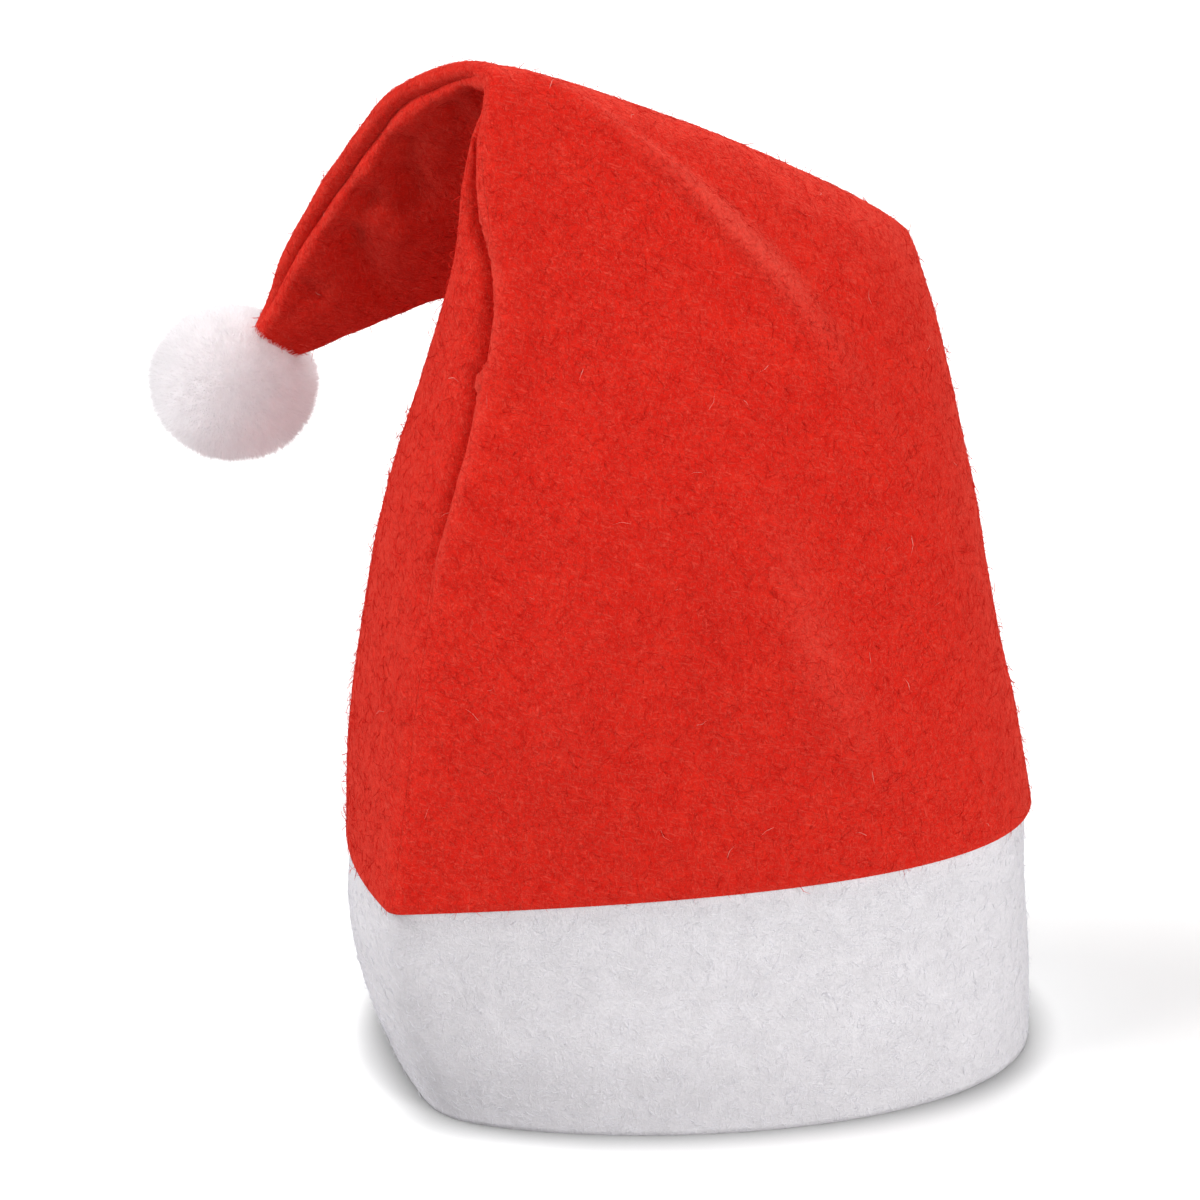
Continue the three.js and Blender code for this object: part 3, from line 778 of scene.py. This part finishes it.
# %% Fibres, strays and lint of each face
FELT_FIBRES = [
    # name, face, count, length, width, rise, seed, closed ring, slot; lengths in mm
    ("crown_front_fibres", crown_faces["front"], 34000, 2.6, 0.11, 0.14, 31, False, "red_felt"),
    ("crown_back_fibres", crown_faces["back"], 34000, 2.6, 0.11, 0.14, 32, False, "red_felt"),
    ("band_fibres", band_outer, 26000, 2.6, 0.10, 0.10, 33, True, "white_felt"),
    ("crown_front_strays", crown_faces["front"], 3500, 4.0, 0.2, 1.3, 41, False, "red_felt"),
    ("crown_back_strays", crown_faces["back"], 4000, 4.0, 0.2, 1.3, 42, False, "red_felt"),
    ("band_strays", band_outer, 2500, 3.5, 0.16, 0.8, 43, True, "white_felt"),
    ("crown_front_lint", crown_faces["front"], 50, 4.0, 0.2, 0.4, 51, False, "white_felt"),
    ("crown_back_lint", crown_faces["back"], 50, 4.0, 0.2, 0.4, 52, False, "white_felt"),
]
fibre_pieces = []
for name, face, count, length, width, rise, seed, wrap, slot in FELT_FIBRES:
    piece = surface_fibres(name, face, count, length * MM, width * MM, rise * MM, seed, wrap)
    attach(piece, "root")
    fibre_pieces.append(piece)

# %% [markdown]
# ## Materials
#
# Felt scatters light in all directions and has no gloss. What tells the eye that it is felt is
# the scribble of fibres, a slightly cloudy colour and a pale velvet edge where the loose fibres
# catch the light, which the shader's sheen gives. A few small functions add the nodes, so that
# each material below reads like a list of its layers.

# %% Colour and node helpers
def linear(hex_colour):
    """An sRGB hex colour as the linear values that a shader takes."""
    parts = [int(hex_colour[k:k + 2], 16) / 255 for k in (1, 3, 5)]
    return [p / 12.92 if p <= 0.04045 else ((p + 0.055) / 1.055)**2.4 for p in parts] + [1]


def node(tree, kind, settings=None, **links):
    """Adds a node, sets its properties and sockets, and links its inputs."""
    made = tree.nodes.new(kind)
    for key, value in (settings or {}).items():
        if hasattr(made, key) and key not in made.inputs:
            setattr(made, key, value)
        else:
            made.inputs[key].default_value = value
    for key, output in links.items():
        names = [s.name for s in made.inputs]
        socket = key.replace("_", " ")
        tree.links.new(output, made.inputs[socket] if socket in names else made.inputs[int(key[1:])])
    return made


def colour_ramp(tree, stops, factor):
    """Colours by a factor, from stops that are a place and an sRGB hex colour."""
    made = node(tree, "ShaderNodeValToRGB", Fac=factor)
    elements = made.color_ramp.elements
    elements.remove(elements[1])
    for number, (place, hex_colour) in enumerate(stops):
        stop = elements.new(place) if number else elements[0]
        stop.position = place
        stop.color = linear(hex_colour)
    return made.outputs["Color"]


def mixed(tree, factor, colour, hex_colour):
    """A colour that turns into a fixed one as the factor rises."""
    made = node(tree, "ShaderNodeMix", {"data_type": "RGBA"}, Factor=factor, _6=colour)
    made.inputs[7].default_value = linear(hex_colour)
    return made.outputs[2]


def new_material(name):
    """An empty material, its node tree and the object's own coordinates in it."""
    material = bpy.data.materials.new(name)
    material.use_nodes = True
    material.node_tree.nodes.clear()
    return material, material.node_tree, node(material.node_tree, "ShaderNodeTexCoord").outputs["Object"]


print("a mid grey gives", round(linear("#808080")[0], 2), "of white's light")

# %% [markdown]
# ## Needle-punched felt
#
# Felt is made by pushing barbed needles through a loose web of fibres until it mats. So the
# material has four layers: clouds where the mat is thicker, a scribble of fibres in all directions,
# a paler colour where it was creased, partly rubbed wear and partly a painted highlight, and the
# dark pricks of the needles. A photo texture would look right from one distance only, and noise
# does from any.

# %% Scribble of fibres
STREAK_SIZE = (3.5 * MM, 0.6 * MM, 0.6 * MM)
STREAK_TURNS = ((0.2, 0.3, 0.2), (0.1, 1.35, 0.9), (0.3, 2.4, 2.0))


def scribble(tree, place):
    """Thin streaks a few millimetres long, in three directions laid over one another.

    A real fibre is a few hundredths of a millimetre thick, and a pixel of the picture about a
    third of a millimetre wide. So the streaks are coarser on purpose: each stands for a bundle.
    """
    height = None
    for turn in STREAK_TURNS:
        mapping = {"vector_type": "TEXTURE", "Rotation": turn, "Scale": STREAK_SIZE}
        stretched = node(tree, "ShaderNodeMapping", mapping, Vector=place).outputs[0]
        noise = {"Scale": 1.0, "Detail": 2.0, "Distortion": 1.0}
        streak = node(tree, "ShaderNodeTexNoise", noise, Vector=stretched).outputs["Fac"]
        limits = {"From Min": 0.55, "From Max": 0.75}
        thin = node(tree, "ShaderNodeMapRange", limits, Value=streak).outputs[0]
        if height is None:
            height = thin
        else:
            height = node(tree, "ShaderNodeMath", {"operation": "MAXIMUM"}, _0=height, _1=thin).outputs[0]
    return height


print(len(STREAK_TURNS), "directions of streaks,", round(STREAK_SIZE[0] / MM, 1), "mm long")

# %% Felt material
CLOUD_SIZE = 8 * MM
PRICK_SIZE = 1.2 * MM
FIBRE_SHARE = 0.4
HIGHLIGHT_AND_WEAR_SHARE = 0.45
BUMP_HEIGHT = 0.5 * MM


def felt(name, prick, dark, middle_colour, light, fibre_light, sheen, bump_strength):
    """Needle-punched felt: cloudy colour, scribbled fibres and a soft sheen."""
    material, tree, place = new_material(name)
    # Clouds: the fibre mat is thicker and thinner over 5 to 15 mm.
    noise = {"Scale": 1 / CLOUD_SIZE, "Detail": 4.0, "Roughness": 0.6}
    cloud = node(tree, "ShaderNodeTexNoise", noise, Vector=place).outputs["Fac"]
    colour = colour_ramp(tree, [(0.32, dark), (0.5, middle_colour), (0.68, light)], cloud)
    # Fibres: they catch a little more light than the mat.
    height = scribble(tree, place)
    weak = node(tree, "ShaderNodeMath", {"operation": "MULTIPLY"}, _0=height)
    weak.inputs[1].default_value = FIBRE_SHARE
    colour = mixed(tree, weak.outputs[0], colour, fibre_light)
    # Painted highlight and wear: the felt is painted paler on fold crests and the lip's edge.
    painted_highlight_and_wear = node(tree, "ShaderNodeAttribute", {"attribute_name": "highlight_and_wear"}).outputs["Fac"]
    highlight_and_wear_mix = node(tree, "ShaderNodeMapRange", {"To Max": HIGHLIGHT_AND_WEAR_SHARE}, Value=painted_highlight_and_wear)
    colour = mixed(tree, highlight_and_wear_mix.outputs[0], colour, fibre_light)
    # Grain: the pricks and knots of the mat, about a millimetre apart.
    noise = {"Scale": 1 / PRICK_SIZE, "Detail": 4.0, "Roughness": 0.7}
    grain = node(tree, "ShaderNodeTexNoise", noise, Vector=place).outputs["Fac"]
    limits = {"From Min": 0.42, "From Max": 0.72, "To Max": 0.5}
    pricks = node(tree, "ShaderNodeMapRange", limits, Value=grain)
    colour = mixed(tree, pricks.outputs[0], colour, prick)
    relief = node(tree, "ShaderNodeMath", {"operation": "ADD"}, _0=height, _1=grain).outputs[0]
    strength = {"Strength": bump_strength, "Distance": BUMP_HEIGHT}
    bumped = node(tree, "ShaderNodeBump", strength, Height=relief).outputs[0]
    # Matt all over, with the pale velvet edge of loose fibres.
    finish = {
        "Roughness": 0.95,
        "Specular IOR Level": 0.05,
        "Sheen Weight": sheen,
        "Sheen Roughness": 0.6,
        "Sheen Tint": linear(fibre_light),
    }
    shader = node(tree, "ShaderNodeBsdfPrincipled", finish, Base_Color=colour, Normal=bumped)
    out = node(tree, "ShaderNodeOutputMaterial")
    tree.links.new(shader.outputs[0], out.inputs[0])
    print(f"{name}: {len(tree.nodes)} nodes")
    return material


# %% Red and white felt
red_felt = felt(
    "needle_felt_red",
    prick="#B00E07",
    dark="#CC1A10",
    middle_colour="#D21E13",
    light="#D82517",
    fibre_light="#F26252",
    sheen=0.75,
    bump_strength=0.55,
)
white_felt = felt(
    "needle_felt_white",
    prick="#C8C5C8",
    dark="#D6D3D6",
    middle_colour="#DCD9DC",
    light="#E2DFE2",
    fibre_light="#EFECEF",
    sheen=0.3,
    bump_strength=0.45,
)
for piece in crown_pieces.values():
    piece.data.materials.append(red_felt)
band.data.materials.append(white_felt)

# %% [markdown]
# ## Loose fibres and pompom fluff
#
# The pompom is yarn, probably acrylic, combed out and trimmed, and the felt's loose fibres are
# much the same singly. A fibre is so thin that light goes through it as well as off it. The Hair
# shader is made for round strands, so flat ribbons get half a matt surface and half a see-through
# one instead, and that is what makes the ball look soft and lit from inside. The pompom's fluff
# also has a faint painted glow for the light that passes between many fibres.

# %% Fibre materials
FIBRE_PATCH = 1.2 * MM
FLUFF_PATCH = 4 * MM
THROUGH_SHARE = 0.5


def fluff_material(name, colour, tip_colour, patch_size, painted_glow_share=0.0):
    """Single fibres: thin, matt and a little see-through to light from behind.

    Light goes from fibre to fibre many more times than a renderer follows it. painted_glow_share
    is a painted glow: light that the fibres give off, standing in for what is lost.
    """
    material, tree, place = new_material(name)
    patch = node(tree, "ShaderNodeTexNoise", {"Scale": 1 / patch_size, "Detail": 2.0}, Vector=place)
    shade = colour_ramp(tree, [(0.35, colour), (0.65, tip_colour)], patch.outputs["Fac"])
    # Painted glow: the emission gives the fibres a little light of their own.
    finish = {
        "Roughness": 0.9,
        "Specular IOR Level": 0.2,
        "Emission Color": linear(tip_colour),
        "Emission Strength": painted_glow_share / THROUGH_SHARE,
    }
    shader = node(tree, "ShaderNodeBsdfPrincipled", finish, Base_Color=shade)
    through = node(tree, "ShaderNodeBsdfTranslucent", Color=shade)
    both = node(tree, "ShaderNodeMixShader", {"Fac": THROUGH_SHARE})
    tree.links.new(shader.outputs[0], both.inputs[1])
    tree.links.new(through.outputs[0], both.inputs[2])
    out = node(tree, "ShaderNodeOutputMaterial")
    tree.links.new(both.outputs[0], out.inputs[0])
    print(f"{name}: {len(tree.nodes)} nodes")
    return material


red_fibre = fluff_material("red_felt_fibre", "#CC1C12", "#DE3125", FIBRE_PATCH)
lint_fibre = fluff_material("pale_lint_fibre", "#EE8F80", "#F2B0A4", FIBRE_PATCH)
white_fibre = fluff_material("white_felt_fibre", "#E4E3E8", "#F0EFF3", FIBRE_PATCH)
# The fluff's glow is painted light, standing in for light passed between many fibres.
pompom_fibre = fluff_material("white_acrylic_fluff", "#F5F3F4", "#FBF9FA", FLUFF_PATCH, painted_glow_share=0.046)
for piece in (core, fluff):
    piece.data.materials.append(pompom_fibre)
for piece in fibre_pieces:
    if piece.name.startswith("band"):
        piece.data.materials.append(white_fibre)
    elif "lint" in piece.name:
        piece.data.materials.append(lint_fibre)
    else:
        piece.data.materials.append(red_fibre)

# %% [markdown]
# ## Floor
#
# The hat stands on plain white paper. The paper is lit so brightly that it bleaches its own
# shadows out, and ambient occlusion, which asks how closed in a point is, brings back the narrow
# soft one where the band stands. The paper looks white but throws little light back up, so the
# flap keeps its deep shade: the Light Path node tells the camera's rays from all others.

# %% Floor
FLOOR_SIZE = 4.4
CONTACT_REACH = 12 * MM
PAPER_SEEN, PAPER_LIT = "#FFFFFF", "#A8A8AA"
bpy.ops.mesh.primitive_plane_add(size=FLOOR_SIZE, location=(0, 0, 0))
floor = bpy.context.object
floor.name = "floor"
floor_material = bpy.data.materials.new("pale_paper_sweep")
floor_material.use_nodes = True
floor_tree = floor_material.node_tree
floor_shader = floor_tree.nodes["Principled BSDF"]
floor_shader.inputs["Roughness"].default_value = 0.9
floor_shader.inputs["Specular IOR Level"].default_value = 0.0
seen = node(floor_tree, "ShaderNodeLightPath").outputs["Is Camera Ray"]
closeness = {"Distance": CONTACT_REACH, "Color": linear(PAPER_SEEN)}
contact = node(floor_tree, "ShaderNodeAmbientOcclusion", closeness).outputs["Color"]
paper = node(floor_tree, "ShaderNodeMix", {"data_type": "RGBA"}, Factor=seen, _7=contact)
paper.inputs[6].default_value = linear(PAPER_LIT)
floor_tree.links.new(paper.outputs[2], floor_shader.inputs["Base Color"])
floor.data.materials.append(floor_material)
print("floor", FLOOR_SIZE, "m square")

# %% [markdown]
# ## Studio light
#
# Seven soft lights stand round the hat. Two on the right light the front panel, the lower one
# stronger. Two on the left, one of them wide, draw the lip and the flap's edge, and a weak one
# from the front lifts the shades. The last two are behind: one whitens the paper and one lights
# the hat from the back. One big light would be simpler, but the seams would lose their shape.

# %% Lights
HAT_MIDDLE = (0, 0, 0.15)
LIGHTS = [
    # name, place, aimed at, size, watts
    ("key_right", (2.05, -1.85, 0.64), HAT_MIDDLE, 1.0, 50),
    ("front_right", (1.24, -2.14, 1.46), HAT_MIDDLE, 1.0, 20),
    ("front", (0.0, -2.47, 1.46), HAT_MIDDLE, 1.0, 8),
    ("side_left", (-2.59, 0.1, 1.3), HAT_MIDDLE, 1.8, 52),
    ("high_left", (-1.72, -0.53, 2.3), HAT_MIDDLE, 1.0, 42),
    ("sweep", (0.5, 1.8, 1.7), (0.5, 1.4, 0), 1.6, 38),
    ("back", (0.5, 2.6, 1.5), HAT_MIDDLE, 1.2, 16),
]
for name, spot, aim, size, watts in LIGHTS:
    light_data = bpy.data.lights.new(name, "AREA")
    light_data.energy = watts
    light_data.size = size
    light = bpy.data.objects.new(name, light_data)
    light.location = spot
    light.rotation_euler = (Vector(aim) - Vector(spot)).to_track_quat("-Z", "Y").to_euler()
    bpy.context.collection.objects.link(light)
    print(f"{name}: {watts} W, {size} m wide")

# %% [markdown]
# ## Surround
#
# The studio's walls are white. The camera sees them at full brightness, but only a little of
# their light reaches the hat, because light from everywhere would wash the folds out.

# %% World and view
WORLD_TOP, WORLD_LOW = "#D0D0D2", "#FFFFFF"
WORLD_STRENGTH = 0.08
world = bpy.data.worlds.new("studio")
bpy.context.scene.world = world
world.use_nodes = True
world_tree = world.node_tree
sky_way = node(world_tree, "ShaderNodeTexCoord").outputs["Generated"]
sky_height = node(world_tree, "ShaderNodeSeparateXYZ", _0=sky_way).outputs["Z"]
sky = colour_ramp(world_tree, [(0, WORLD_LOW), (1, WORLD_TOP)], sky_height)
background = world_tree.nodes["Background"]
world_tree.links.new(sky, background.inputs["Color"])
world_seen = node(world_tree, "ShaderNodeLightPath").outputs["Is Camera Ray"]
limits = {"To Min": WORLD_STRENGTH, "To Max": 1.0}
strength = node(world_tree, "ShaderNodeMapRange", limits, Value=world_seen)
world_tree.links.new(strength.outputs[0], background.inputs["Strength"])
bpy.context.scene.view_settings.view_transform = "Standard"
print("surround gives", WORLD_STRENGTH, "of the light that it shows")

# %% [markdown]
# ## The cloth as it was cut
#
# Two lengths of the felt are printed, from the crown's lower edge to its tip and round its lower
# edge, to set beside the flat size that it was cut to: felt hardly stretches.

middle_line = middle[:, FINE_COLUMNS // 2]
print("front panel, lower edge to tip, m", round(float(lengths(middle_line[None])[0, -1]), 3))
print("lower edge of both panels, m", round(float(lengths(middle[:1])[0, -1]), 3))
